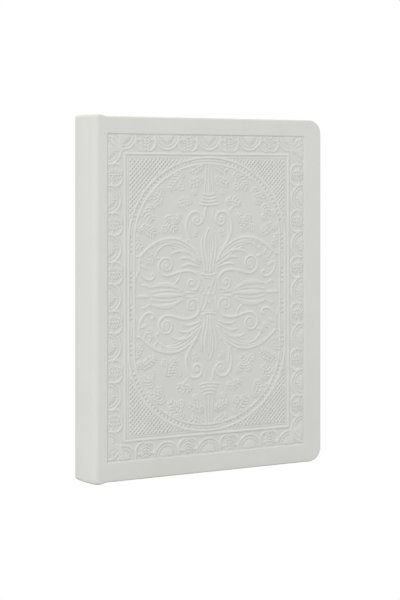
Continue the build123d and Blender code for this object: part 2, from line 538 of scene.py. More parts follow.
@dataclass(frozen=True)
class SmoothLeather:
    """Smooth pale leather: faint clouding, fine pores and a soft sheen."""

    colour: Colour = (0.80, 0.80, 0.765)
    clouding: float = 0.012
    cloud_scale: float = 38.0
    roughness: float = 0.72
    shine: float = 0.25
    pore_size: float = 0.55
    pore_depth: float = 0.012
    crease_scale: float = 420.0
    crease_depth: float = 0.036
    # Y of the face and of the deepest pits, and the darkest tone there: painted shade that darkens the colour
    # into the pits and recesses.
    pressed: tuple[float, float] | None = None
    painted_pit_shade: float = 0.93

    def build(self) -> bpy.types.Material:
        """Make the material.

        Returns:
            The material; where pressed gives the Y of a face and of the deepest pits pressed into
            it, in metres, it gets a shade darker from the one to the other.
        """
        sheet = NodeSheet("pressed_leather_painted_shade" if self.pressed else "smooth_leather", self.roughness)
        sheet.shader.inputs["Specular IOR Level"].default_value = self.shine
        clouds = sheet.texture("ShaderNodeTexNoise", Scale=self.cloud_scale, Detail=4.0)
        pores = sheet.texture("ShaderNodeTexVoronoi", feature="DISTANCE_TO_EDGE",
                              Scale=1 / (self.pore_size * MM))
        creases = sheet.texture("ShaderNodeTexNoise", Scale=self.crease_scale, Detail=5.0)
        darker = tuple(part - self.clouding for part in self.colour)
        lighter = tuple(part + self.clouding for part in self.colour)
        tone = sheet.ramp(clouds, "Fac", darker, lighter)
        if self.pressed:
            self.paint_depth_shade(sheet, tone)
        else:
            sheet.paint(tone)
        sheet.emboss([(creases, "Fac", self.crease_depth), (pores, "Distance", self.pore_depth)])
        return sheet.material

    def paint_depth_shade(self, sheet: NodeSheet, tone: bpy.types.Node) -> None:
        """Paint shade into the surface's colour: a tone that darkens with the depth below the face.

        Args:
            sheet: the material's nodes.
            tone: the node that colours the face.
        """
        face, deepest = self.pressed
        parts = sheet.texture("ShaderNodeSeparateXYZ")
        depth = sheet.add("ShaderNodeMapRange", From_Min=face, From_Max=deepest)
        sheet.join(parts, "Y", depth, "Value")
        # Painted shade: the colour is multiplied darker with depth into the pits and recesses.
        shade = sheet.add("ShaderNodeMix", data_type="RGBA", blend_type="MULTIPLY")
        shade.inputs[MixSocket.SECOND].default_value = (*(self.painted_pit_shade,) * 3, 1.0)
        sheet.join(depth, "Result", shade, MixSocket.FACTOR)
        sheet.join(tone, "Color", shade, MixSocket.FIRST)
        sheet.paint(shade, MixSocket.RESULT)


@dataclass(frozen=True)
class LaidPaper:
    """Uncoated paper with a faint tooth."""

    name: str = "endpaper"
    colour: Colour = (0.80, 0.79, 0.75)
    mottle_scale: float = 60.0
    mottle_shade: float = 0.97
    fibre_scale: float = 900.0
    tooth: float = 0.02
    roughness: float = 0.85

    def build(self) -> bpy.types.Material:
        """Make the material.

        Returns:
            The material.
        """
        sheet = NodeSheet(self.name, self.roughness)
        fibres = sheet.texture("ShaderNodeTexNoise", Scale=self.fibre_scale, Detail=6.0)
        mottle = sheet.texture("ShaderNodeTexNoise", Scale=self.mottle_scale, Detail=3.0)
        darker = tuple(part * self.mottle_shade for part in self.colour)
        sheet.paint(sheet.ramp(mottle, "Fac", darker, self.colour))
        sheet.emboss([(fibres, "Fac", self.tooth)])
        return sheet.material


@dataclass(frozen=True)
class TrimmedPages:
    """Cut edges of the pages: close lines, one for every few leaves, painted darker as shade in the gaps
    between leaves.
    """

    colour: Colour = (0.80, 0.785, 0.74)
    # Painted shade in the gaps between leaves.
    gap_colour: Colour = (0.60, 0.58, 0.53)
    leaf: float = 0.22
    waver_scale: float = 8.0
    ridge_height: float = 0.06
    roughness: float = 0.9

    def build(self) -> bpy.types.Material:
        """Make the material.

        Returns:
            The material.
        """
        sheet = NodeSheet("page_edges", self.roughness)
        across = sheet.texture("ShaderNodeMapping")
        across.inputs["Scale"].default_value = (self.waver_scale, 1 / (self.leaf * MM),
                                                self.waver_scale)
        lines = sheet.add("ShaderNodeTexNoise", Scale=1.0, Detail=2.0)
        sheet.join(across, "Vector", lines, "Vector")
        sheet.paint(sheet.ramp(lines, "Fac", self.gap_colour, self.colour, high=0.55))
        sheet.emboss([(lines, "Fac", self.ridge_height)])
        return sheet.material


@dataclass(frozen=True)
class Millboard:
    """Grey or brown board made of pressed fibres."""

    name: str
    colour: Colour
    fleck: Colour
    fleck_scale: float = 700.0
    tooth: float = 0.05
    roughness: float = 0.92

    def build(self) -> bpy.types.Material:
        """Make the material.

        Returns:
            The material.
        """
        sheet = NodeSheet(self.name, self.roughness)
        flecks = sheet.texture("ShaderNodeTexNoise", Scale=self.fleck_scale, Detail=6.0)
        sheet.paint(sheet.ramp(flecks, "Fac", self.fleck, self.colour, low=0.35, high=0.6))
        sheet.emboss([(flecks, "Fac", self.tooth)])
        return sheet.material


@dataclass(frozen=True)
class OpenCloth:
    """Mull: thin cotton with an open square weave that repeats every second thread."""

    colour: Colour = (0.74, 0.72, 0.66)
    gap_colour: Colour = (0.42, 0.38, 0.31)
    thread_pitch: float = 0.9
    thread_height: float = 0.12
    roughness: float = 0.95

    def build(self) -> bpy.types.Material:
        """Make the material.

        Returns:
            The material.
        """
        sheet = NodeSheet("mull_cloth", self.roughness)
        scale = wave_scale(2 * self.thread_pitch)
        grid = sheet.add("ShaderNodeMath", operation="MAXIMUM")
        for entry, direction in enumerate("YZ"):
            wave = sheet.texture("ShaderNodeTexWave", bands_direction=direction, Scale=scale)
            sheet.join(wave, "Fac", grid, entry)
        sheet.paint(sheet.ramp(grid, "Value", self.gap_colour, self.colour, low=0.45, high=0.75))
        sheet.emboss([(grid, "Value", self.thread_height)])
        return sheet.material


@dataclass(frozen=True)
class BandThread:
    """Headband thread: two pale tones wound side by side."""

    colour: Colour = (0.82, 0.81, 0.78)
    second: Colour = (0.60, 0.59, 0.56)
    pitch: float = 1.1
    fuzz_scale: float = 2500.0
    fuzz_height: float = 0.03
    roughness: float = 0.7

    def build(self) -> bpy.types.Material:
        """Make the material.

        Returns:
            The material.
        """
        sheet = NodeSheet("band_thread", self.roughness)
        wave = sheet.texture("ShaderNodeTexWave", bands_direction="Y", wave_profile="SIN",
                             Scale=wave_scale(self.pitch))
        fuzz = sheet.texture("ShaderNodeTexNoise", Scale=self.fuzz_scale, Detail=3.0)
        sheet.paint(sheet.ramp(wave, "Fac", self.second, self.colour, low=0.4, high=0.6))
        sheet.emboss([(fuzz, "Fac", self.fuzz_height)])
        return sheet.material


# ---- pressed panel -------------------------------------------------------------------------------
def through(points: Sequence[Point], steps: int = 7) -> Path:
    """Smooth curve through given points.

    Args:
        points: the points in order.
        steps: pieces between each two points.

    Returns:
        One row of two numbers for each point of the curve.
    """
    given = np.asarray(points, float)
    padded = np.vstack((2 * given[0] - given[1], given, 2 * given[-1] - given[-2]))
    t = np.linspace(0, 1, steps, endpoint=False)[:, None]
    runs = []
    for p0, p1, p2, p3 in zip(padded, padded[1:], padded[2:], padded[3:]):
        runs.append(0.5 * (2 * p1 + (p2 - p0) * t + (2 * p0 - 5 * p1 + 4 * p2 - p3) * t**2
                           + (3 * p1 - p0 - 3 * p2 + p3) * t**3))
    return np.vstack((*runs, given[-1:]))


def volute(centre: Point, outer: float, inner: float, start: float, turns: float) -> Path:
    """Spiral that winds in towards its centre.

    Args:
        centre: the spiral's centre.
        outer: radius where it starts.
        inner: radius where it ends.
        start: angle where it starts, in degrees.
        turns: number of turns; a negative number winds clockwise.

    Returns:
        One row of two numbers for each point.
    """
    t = np.linspace(0, 1, max(12, int(abs(turns) * 26)))
    radius = outer * (inner / outer) ** t
    angle = math.radians(start) + 2 * math.pi * turns * t
    return np.asarray(centre) + np.column_stack((radius * np.cos(angle), radius * np.sin(angle)))


def swell(count: int, start: float, middle: float, end: float) -> np.ndarray:
    """Half widths that grow from start to middle and fall to end along a stroke.

    Args:
        count: number of points along the stroke.
        start: half width at its start.
        middle: half width at its middle.
        end: half width at its end.

    Returns:
        One half width for each point.
    """
    t = np.linspace(0, 1, count)
    bow = np.sin(math.pi * t)
    return start * (1 - t) * (1 - bow) + middle * bow + end * t * (1 - bow)


class Relief:
    """Quarter of a pressed panel as a height field, mirrored about both centre lines.

    The first axis runs outwards from the upright centre line and the second upwards from the level
    one. Heights are in millimetres above the pressed ground. Raised strokes are widened by boldness
    and have the section that crown gives; dot is the length of the stroke that makes a round mark,
    and thinnest the least half width.
    """

    boldness: float = 1.2
    dot: float = 1e-3
    thinnest: float = 1e-3
    crown: float = 0.8

    def __init__(self, half_width: float, half_height: float, pitch: float) -> None:
        """Lay out the sample grid.

        Args:
            half_width: reach of the field from the upright centre line.
            half_height: reach of the field from the level centre line.
            pitch: distance between samples.
        """
        self.across = np.linspace(0, half_width, round(half_width / pitch) + 1)
        self.up = np.linspace(0, half_height, round(half_height / pitch) + 1)
        self.height = np.zeros((len(self.up), len(self.across)))

    def window(self, low: np.ndarray, high: np.ndarray) -> tuple[slice, slice]:
        """Find the samples between two corners.

        Args:
            low: the corner nearest the centre.
            high: the corner farthest from it.

        Returns:
            Their rows and their columns.
        """
        columns = np.searchsorted(self.across, (low[0], high[0]))
        rows = np.searchsorted(self.up, (low[1], high[1]))
        return slice(rows[0], rows[1]), slice(columns[0], columns[1])

    def stroke(self, path: Path, half_width: np.ndarray | float, height: float,
               crown: float) -> Iterator[tuple[tuple[slice, slice], np.ndarray]]:
        """Work out a rounded stroke, one straight piece at a time.

        Args:
            path: the stroke's centre line.
            half_width: half of its width, or one value for each point.
            height: its height at the crown.
            crown: 1 is a plain arch, less is a broader crown with steeper feet.

        Yields:
            The rows and columns each piece covers, and its heights there.
        """
        path = np.asarray(path, float)
        widths = np.broadcast_to(np.asarray(half_width, float), (len(path),))
        for (start, end), (first, last) in zip(zip(path, path[1:]), zip(widths, widths[1:])):
            reach = max(first, last)
            area = self.window(np.minimum(start, end) - reach, np.maximum(start, end) + reach)
            x, z = np.meshgrid(self.across[area[1]], self.up[area[0]])
            along = end - start
            length = max(float(along @ along), self.thinnest**3)
            t = np.clip(((x - start[0]) * along[0] + (z - start[1]) * along[1]) / length, 0, 1)
            away = (x - start[0] - t * along[0])**2 + (z - start[1] - t * along[1])**2
            reach_here = np.maximum(first + (last - first) * t, self.thinnest)
            yield area, height * np.clip(1 - away / reach_here**2, 0, 1)**crown

    def ridge(self, path: Path, half_width: np.ndarray | float, height: float,
              crown: float = crown) -> None:
        """Raise a rounded stroke.

        Args:
            path: the stroke's centre line.
            half_width: half of its width, or one value for each point.
            height: its height at the crown.
            crown: 1 is a plain arch, less is a broader crown with steeper feet.
        """
        for area, rise in self.stroke(path, np.asarray(half_width) * self.boldness, height, crown):
            self.height[area] = np.maximum(self.height[area], rise)

    def groove(self, path: Path, half_width: float, depth: float) -> None:
        """Cut a rounded line into what stands there.

        Args:
            path: the line.
            half_width: half of its width.
            depth: depth at its middle.
        """
        cut = np.zeros_like(self.height)
        for area, rise in self.stroke(path, half_width, depth, self.crown):
            cut[area] = np.maximum(cut[area], rise)
        self.height -= cut

    def pit(self, centre: Point, radius: float, depth: float) -> None:
        """Cut a round pit."""
        self.groove(np.array([centre, (centre[0] + self.dot, centre[1])]), radius, depth)

    def bead(self, centre: Point, radius: float, height: float) -> None:
        """Raise a round bead."""
        self.ridge(np.array([centre, (centre[0] + self.dot, centre[1])]), radius, height)

    def vine(self, points: Sequence[Point], widths: float | Widths, height: float) -> Path:
        """Raise a stroke through given points; two points make a straight one.

        Args:
            points: the points in order.
            widths: half of its width, or that at its start, middle and end.
            height: its height at the crown.

        Returns:
            The stroke's centre line.
        """
        line = through(points) if len(points) > 2 else np.array(points)
        spread = swell(len(line), *widths) if isinstance(widths, tuple) else widths
        self.ridge(line, spread, height)
        return line

    def coil(self, centre: Point, radii: Point, start: float, turns: float, widths: Point,
             height: float, eye: Point) -> None:
        """Raise a spiral stroke with a bead for its eye.

        Args:
            centre: the spiral's centre.
            radii: radius where it starts and where it ends.
            start: angle where it starts, in degrees.
            turns: number of turns.
            widths: half of its width where it starts and where it ends.
            height: its height at the crown.
            eye: radius and height of the bead.
        """
        line = volute(centre, *radii, start, turns)
        self.ridge(line, np.linspace(*widths, len(line)), height)
        self.bead(centre, *eye)

    def petal(self, spine: Path, width: float, height: float, vein: float = 0.0) -> None:
        """Raise a pointed petal.

        Args:
            spine: its centre line, from foot to tip.
            width: half width at its fullest.
            height: height of its crown.
            vein: depth of the line down its middle.
        """
        foot, tip, vein_width = 0.35 * width, 0.12, 0.28
        self.ridge(spine, swell(len(spine), foot, width, tip), height, 0.9)
        if vein:
            self.groove(spine[1:-2], vein_width, vein)

    def leaf(self, spine: Path, width: float, lobes: int, height: float) -> None:
        """Raise a lobed leaf whose lobes lean towards its tip.

        Args:
            spine: its midrib, from foot to tip.
            width: reach of the longest lobe from the midrib.
            lobes: number of lobes on each side.
            height: height of the midrib.
        """
        steps = np.gradient(spine, axis=0)
        steps /= np.linalg.norm(steps, axis=1)[:, None]
        belly, tip = (0.55, 0.2), (0.95, 0.6)
        for number in range(lobes):
            share = (number + 0.3) / lobes
            at = min(int(share * (len(spine) - 1)), len(spine) - 2)
            reach = width * math.sin(math.pi * (0.2 + 0.7 * share))
            for side in (-1, 1):
                out = side * np.array((-steps[at][1], steps[at][0]))
                points = [spine[at] + out * reach * away + steps[at] * reach * onwards
                          for away, onwards in ((0, 0), belly, tip)]
                lobe = through(points, 4)
                self.ridge(lobe, np.linspace(0.26, 0.46, len(lobe)), height)
        self.ridge(spine, swell(len(spine), 0.3, 0.36, 0.2), height, 0.9)

    def soften(self, radius: float) -> None:
        """Round everything off as leather does.

        Args:
            radius: standard distance of the blur, in millimetres.
        """
        for axis, line in ((0, self.up), (1, self.across)):
            pitch = line[1] - line[0]
            reach = max(1, math.ceil(3 * radius / pitch))
            weights = np.exp(-0.5 * (np.arange(-reach, reach + 1) * pitch / radius)**2)
            weights /= weights.sum()
            width = [(0, 0), (0, 0)]
            width[axis] = (reach, 0)
            padded = np.pad(self.height, width, mode="reflect")
            width[axis] = (0, reach)
            padded = np.pad(padded, width, mode="edge")
            self.height = np.apply_along_axis(np.convolve, axis, padded, weights, "valid")

    def whole(self) -> tuple[np.ndarray, np.ndarray, np.ndarray]:
        """Unfold the quarter.

        Returns:
            Positions across, positions up, and the height at each, about the panel's centre.
        """
        across = np.concatenate((-self.across[:0:-1], self.across))
        up = np.concatenate((-self.up[:0:-1], self.up))
        right = np.vstack((self.height[:0:-1], self.height))
        return across, up, np.hstack((right[:, :0:-1], right))


@dataclass(frozen=True)
class PressedPanel:
    """Scrollwork pressed into the front cover. Sizes are in millimetres from the panel's centre.

    The ornament is drawn with its face at drawn_face, then stretched so that its ground lies at
    depth and the bottoms of its net's pits at deepest.
    """

    half_width: float
    half_height: float
    depth: float = 0.54
    deepest: float = 0.92
    drawn_face: float = 0.45
    pitch: float = 0.29
    rim: float = 1.2
    softness: float = 0.13
    border: float = 10.6
    frame_width: float = 0.7
    oval_side_gap: float = 13.6
    oval_end_gap: float = 13.1
    oval_end: float = 47.3
    oval_band: float = 3.5
    oval_pit: Point = (0.88, 0.6)
    oval_pit_pitch: float = 2.6
    oval_pit_rows: tuple[Point, ...] = ((5, 13), (25, 33), (42, 94))
    net_width: float = 2.5
    net_height: float = 2.6
    net_pit: float = 0.76
    net_top: float = 0.38
    net_frame_gap: float = 1.9
    net_oval_gap: float = 0.4
    arch_pitch_across: float = 27.7
    arch_pitch_up: float = 27.3

    @property
    def oval_half_width(self) -> float:
        """Half width of the oval's outer line."""
        return self.half_width - self.oval_side_gap

    @property
    def oval_straight(self) -> float:
        """Half length of the oval's straight sides."""
        return self.half_height - self.oval_end_gap - self.oval_end

    def build(self) -> Relief:
        """Press the whole ornament.

        Returns:
            Heights of 0 at the cover's face, minus depth on the ground and minus deepest in the
            net's pits.
        """
        relief = Relief(self.half_width + self.rim, self.half_height + self.rim, self.pitch)
        for draw in (self.finial, self.lily, self.side_curl, self.great_leaf, self.scrolls,
                     self.side_spray, self.sprigs):
            draw(relief)
        x, z = np.meshgrid(relief.across, relief.up)
        relief.height[~self.inside_oval(x, z, self.oval_band)] = 0
        for draw in (self.net, self.oval, self.frame_line, self.borders):
            draw(relief)
        outside = (x > self.half_width) | (z > self.half_height)
        relief.height[outside] = self.drawn_face
        relief.soften(self.softness)
        relief.height = (relief.height - self.drawn_face) * self.depth / self.drawn_face
        return relief

    def inside_oval(self, x: np.ndarray, z: np.ndarray, inset: float) -> np.ndarray:
        """Whether places lie inside the oval drawn in by inset."""
        rise = np.maximum(np.abs(z) - self.oval_straight, 0) / (self.oval_end - inset)
        return (x / (self.oval_half_width - inset))**2 + rise**2 < 1

    def oval_path(self, inset: float) -> Path:
        """Walk one quarter of the oval's line, from the level centre line to the upright one.

        Args:
            inset: distance inside the oval's outer line.

        Returns:
            One row of two numbers for each point.
        """
        half = self.oval_half_width - inset
        end = arc((0, self.oval_straight), (half, self.oval_end - inset), 0, 90, 60)
        return np.vstack(([(half, 0.0)], end))

    def net(self, relief: Relief) -> None:
        """Lay a diamond lattice with a round pit in each mesh in the corners outside the oval.

        Args:
            relief: the field to press, as in all the methods below.
        """
        x, z = np.meshgrid(relief.across, relief.up)
        first = x / self.net_width + z / self.net_height
        second = x / self.net_width - z / self.net_height
        off_first = first - np.floor(first) - 0.5
        off_second = second - np.floor(second) - 0.5
        across = (off_first + off_second) * self.net_width / 2
        along = (off_first - off_second) * self.net_height / 2
        pit = np.clip(1 - (across**2 + along**2) / self.net_pit**2, 0, 1)
        edge = self.border + 2 * self.frame_width + self.net_frame_gap
        inside = (x < self.half_width - edge) & (z < self.half_height - edge)
        field = inside & ~self.inside_oval(x, z, -self.net_oval_gap)
        floor = self.drawn_face * (1 - self.deepest / self.depth)
        relief.height[field] = (self.net_top + (floor - self.net_top) * pit)[field]

    def oval(self, relief: Relief) -> None:
        """Raise two lines round the oval; between them a thin line and rows of pits.

        Args:
            relief: the field to press.
        """
        middle = self.oval_path(self.oval_band / 2)
        relief.ridge(self.oval_path(0), 0.62, 0.45)
        relief.ridge(self.oval_path(self.oval_band), 0.55, 0.42)
        relief.ridge(middle, 0.36, 0.3)
        steps = np.linalg.norm(np.diff(middle, axis=0), axis=1)
        run = np.concatenate(((0,), np.cumsum(steps)))
        for start, end in self.oval_pit_rows:
            places = np.linspace(start, end, round((end - start) / self.oval_pit_pitch) + 1)
            spots = np.column_stack([np.interp(places, run, middle[:, i]) for i in (0, 1)])
            relief.ridge(spots, 0.75, 0.25, 0.5)
            for spot in spots:
                relief.pit(tuple(spot), *self.oval_pit)

    def frame_line(self, relief: Relief) -> None:
        """Raise the frame between the border and the field, with a thin line inside it.

        Args:
            relief: the field to press.
        """
        for inset, width, height in ((0.6, self.frame_width, 0.45), (2.6, 0.3, 0.25)):
            x = self.half_width - self.border - inset
            z = self.half_height - self.border - inset
            relief.ridge(np.array([(x, 0), (x, z), (0, z)]), width, height)

    def borders(self, relief: Relief) -> None:
        """Line all four sides with arches, with a leaf in each gap and a fan in the corner.

        Args:
            relief: the field to press.
        """
        def top(s: float, t: float) -> Point:
            """Place a point on the top border from its way along and its depth inwards."""
            return s, self.half_height - t

        def side(s: float, t: float) -> Point:
            """Place a point on the side border in the same way."""
            return self.half_width - t, s

        for place, pitch, arches in ((top, self.arch_pitch_across, 3), (side, self.arch_pitch_up, 4)):
            for number in range(arches):
                self.arch(relief, place, number * pitch)
            for number in range(arches - 1):
                self.gap_leaf(relief, place, (number + 0.5) * pitch)
        self.corner_fan(relief)

    def arch(self, relief: Relief, place: Place, middle: float) -> None:
        """Raise one arch with a palmette under it.

        Args:
            relief: the field to press.
            place: turns a way along and a depth inwards into a point.
            middle: way along of the arch's middle.
        """
        for half, rise, width, height in ((7.8, 8.0, 0.6, 0.42), (6.0, 6.1, 0.4, 0.28)):
            path = [place(middle + s, 0.7 + t) for s, t in arc((0, 0), (half, rise), 4, 176, 30)]
            relief.ridge(np.array(path), width, height)
        for angle in (12, 38, 64, 90, 116, 142, 168):
            reach = 5.0 if angle == 90 else 4.4
            tip = (reach * math.cos(math.radians(angle)), reach * math.sin(math.radians(angle)))
            spine = [place(middle + tip[0] * k, 0.9 + tip[1] * k) for k in (0.2, 0.45, 0.7, 1.0)]
            relief.petal(through(spine, 4), 0.72, 0.42)
        relief.bead(place(middle, 0.9), 0.8, 0.34)

    def gap_leaf(self, relief: Relief, place: Place, middle: float) -> None:
        """Raise an upright leaf between two arches, with a curled leaf on each side of it.

        Args:
            relief: the field to press.
            place: turns a way along and a depth inwards into a point.
            middle: way along of the leaf.
        """
        relief.leaf(through([place(middle, t) for t in (9.4, 6.5, 3.6, 0.9)], 8), 3.3, 5, 0.42)
        bend = ((0.8, 9.5), (3.0, 9.3), (5.2, 8.0), (6.3, 5.6), (5.6, 3.4), (4.2, 3.0))
        for turn in (-1, 1):
            curl = through([place(middle + turn * s, t) for s, t in bend], 5)
            relief.ridge(curl, swell(len(curl), 0.35, 0.7, 0.4), 0.42)
            relief.bead(place(middle + turn * 4.2, 3.2), 0.75, 0.34)

    def corner_fan(self, relief: Relief) -> None:
        """Spread a fan of petals from the frame's corner to the panel's.

        Args:
            relief: the field to press.
        """
        foot = (self.half_width - self.border + 1.5, self.half_height - self.border + 1.5)
        for angle, reach in ((-6, 5.6), (12, 7.6), (32, 9.6), (58, 9.6), (78, 7.6), (96, 5.6)):
            turn = math.radians(angle)
            spine = [(foot[0] + reach * k * math.cos(turn), foot[1] + reach * k * math.sin(turn))
                     for k in (0.15, 0.45, 0.75, 1.0)]
            relief.petal(through(spine, 4), 0.8, 0.44, 0.1)
        relief.bead(foot, 1.2, 0.42)

    def finial(self, relief: Relief) -> None:
        """Raise the fluted column under the oval's end, on four stacked rings.

        Args:
            relief: the field to press.
        """
        relief.vine([(3.1, 57.4), (2.5, 63.0), (1.9, 70.0), (1.3, 77.0)], 0.42, 0.36)
        relief.vine([(0.0, 57.6), (0.0, 76.5)], 0.45, 0.33)
        relief.vine([(1.5, 57.8), (1.2, 64.0), (0.8, 72.0)], 0.26, 0.22)
        for z, half in ((57.0, 3.6), (54.9, 4.3), (53.1, 5.0), (51.2, 6.0)):
            relief.vine([(0.0, z - 0.25), (half * 0.6, z), (half, z + 0.5)], 0.55, 0.4)

    def lily(self, relief: Relief) -> None:
        """Raise the central petal on a tie bar, with the stems that run down to the middle.

        Args:
            relief: the field to press.
        """
        strokes = (
            (((0.8, 12.8), (1.2, 18), (2.1, 23), (2.8, 28), (2.3, 32.6), (1.1, 36), (0, 37.8)), 0.5, 0.43),
            (((0.5, 16), (0.8, 20), (1.3, 25), (1.4, 29), (0.8, 32.6), (0, 34.8)), 0.3, 0.3),
            (((0.0, 18.0), (0.0, 33.0)), 0.4, 0.26),
            (((2.3, 12.6), (3.0, 17), (4.2, 22.0), (5.0, 28), (4.6, 32.5)), (0.3, 0.6, 0.3), 0.36),
            (((0.0, 10.8), (2.4, 10.9), (4.3, 11.6)), 0.6, 0.43),
            (((0.0, 9.5), (3.6, 9.5)), 0.35, 0.26),
            (((3.8, 9.0), (2.6, 6.6), (1.6, 4.2), (1.2, 2.2)), 0.5, 0.34),
            (((5.0, 9.8), (5.3, 7.0), (4.4, 4.4), (4.6, 2.0)), 0.42, 0.3))
        for points, widths, height in strokes:
            relief.vine(points, widths, height)
        for centre, radius, height in (((0, 0), 1.3, 0.42), ((3, 0), 0.8, 0.34), ((0, 4.6), 0.8, 0.34)):
            relief.bead(centre, radius, height)

    def side_curl(self, relief: Relief) -> None:
        """Raise the stem beside the central petal, which winds into a volute near the rings.

        Args:
            relief: the field to press.
        """
        relief.vine([(5.4, 18.6), (8.4, 24.6), (12.2, 29.8), (14.8, 35), (15.3, 39.4), (14.3, 43.4)],
                    (0.5, 0.85, 0.85), 0.45)
        relief.coil((8.3, 42.6), (6.1, 0.9), 8, 1.75, (0.85, 0.35), 0.45, (1.15, 0.42))
        relief.vine([(7.4, 21.4), (10.4, 27.2), (12.9, 32), (13.5, 36.4), (12.9, 40)], 0.42, 0.34)
        relief.petal(through([(4.2, 41.0), (3.0, 44.6), (2.6, 48.0), (1.2, 50.2)]), 0.85, 0.36)
        relief.petal(through([(13.0, 47.2), (17.0, 50.2), (20.4, 50.8)]), 0.8, 0.34, 0.1)
        relief.leaf(through([(9.6, 33.0), (8.9, 35.6), (7.2, 37.4)], 6), 1.7, 3, 0.3)

    def great_leaf(self, relief: Relief) -> None:
        """Raise the broad leaf that arches over each quarter's volute and ends in a curled tip.

        Args:
            relief: the field to press.
        """
        crest = relief.vine([(5.8, 19.9), (9.0, 24.6), (13.7, 28.5), (19, 31.3), (24.7, 32.3), (30.7, 31.6),
                             (36.2, 29.6), (41.2, 26.2), (45, 22.9), (47.2, 22.4)], (0.5, 0.85, 0.45), 0.45)
        relief.vine([(9.5, 23.0), (14.5, 27.0), (19.5, 29.1), (24.5, 29.7), (29.4, 28.7), (33.2, 26.2),
                     (35.0, 23.6), (34.8, 21.6), (33.2, 20.9)], (0.35, 0.6, 0.42), 0.38)
        relief.bead((33.4, 21.4), 0.85, 0.38)
        lobes = (((6.6, 19.0), (11.0, 22.6), (15.8, 24.9), (21.0, 25.0), (24.6, 23.6)),
                 ((6.4, 17.2), (11.0, 19.8), (15.4, 21.2), (19.4, 20.6)),
                 ((6.2, 15.6), (10.4, 16.9), (14.6, 17.4), (17.6, 16.2)))
        for number, lobe in enumerate(lobes):
            relief.vine(lobe, (0.4, 0.95 - 0.12 * number, 0.3), 0.42)
        for drop, start, end in ((1.7, 3, 44), (3.9, 5, 30), (5.5, 6, 26)):
            rib = crest[start:end] + np.array((0.35 * drop, -0.93 * drop))
            relief.ridge(rib, swell(len(rib), 0.25, 0.42, 0.25), 0.36)
        for share in (0.44, 0.52, 0.60, 0.68, 0.76, 0.84, 0.91):
            head = crest[int(share * (len(crest) - 1))]
            reach = 2.9 * math.sin(math.pi * (1.22 - share))
            foot = head + np.array((-0.45, -1.0)) * (reach + 0.8)
            relief.ridge(through([head, (head + foot) / 2 + (0.35, 0), foot], 4), 0.48, 0.32)
        for share in (0.10, 0.18, 0.26, 0.34):
            head = crest[int(share * (len(crest) - 1))]
            relief.petal(through([head, head + (-0.3, 1.4), head + (-1.6, 2.3)], 4), 0.7, 0.3)

    def scrolls(self, relief: Relief) -> None:
        """Raise the volute, its C-scroll and small coil, and the outer stem, in each quarter.

        Args:
            relief: the field to press.
        """
        relief.vine([(6.3, 8.6), (8.0, 11.4), (11.2, 13.2), (15.4, 13.7), (19.8, 13.1), (24, 11.9),
                     (28, 11.2)], (0.55, 0.8, 0.7), 0.44)
        relief.coil((28.2, 17.2), (6.0, 1.2), -92, 2.2, (0.72, 0.4), 0.44, (1.35, 0.44))
        relief.coil((11.4, 6.3), (5.3, 0.8), 156, 1.7, (0.6, 0.34), 0.4, (1.0, 0.4))
        relief.vine([(18.6, 12.9), (19.6, 10.2), (21.6, 7.6), (24.2, 5.8)], 0.55, 0.36)
        relief.vine([(45.2, 22.4), (45.8, 18.4), (45.2, 14.2), (43, 10.9), (40, 9.3), (37.2, 9.7),
                     (36.1, 11.6), (37.3, 13.0)], (0.45, 0.66, 0.4), 0.42)
        relief.bead((37.6, 12.2), 0.9, 0.4)
        relief.petal(through([(44.8, 17.6), (42.4, 16.6), (40.8, 15.4)], 5), 0.95, 0.36, 0.1)
        relief.petal(through([(45.6, 15.0), (47.4, 12.0), (48.0, 8.6)], 5), 0.8, 0.34)
        relief.leaf(through([(35.6, 22.8), (38.2, 20.8), (39.4, 17.6)], 7), 2.2, 4, 0.32)

    def side_spray(self, relief: Relief) -> None:
        """Raise the long petals that run from the middle of each side towards the oval.

        Args:
            relief: the field to press.
        """
        relief.petal(through([(17.8, 2.6), (24, 5.4), (31, 6.3), (38.6, 4.9)]), 1.45, 0.4, 0.14)
        relief.petal(through([(16.5, 0.0), (24, 0.0), (31, 0.0), (37.6, 0.0)]), 1.35, 0.42, 0.14)
        relief.vine([(18.5, 1.9), (26, 2.9), (33, 2.8), (38.2, 1.9)], 0.42, 0.3)
        relief.petal(through([(39.4, 0.0), (44.0, 0.0), (48.6, 0.0)]), 1.1, 0.38, 0.1)
        relief.petal(through([(38.8, 4.4), (42.2, 6.4), (44.6, 6.0)], 5), 0.8, 0.32)
        relief.petal(through([(16.0, 1.2), (12.8, 1.4), (9.0, 0.8)], 5), 0.8, 0.32)
        relief.bead((7.6, 2.9), 0.8, 0.32)

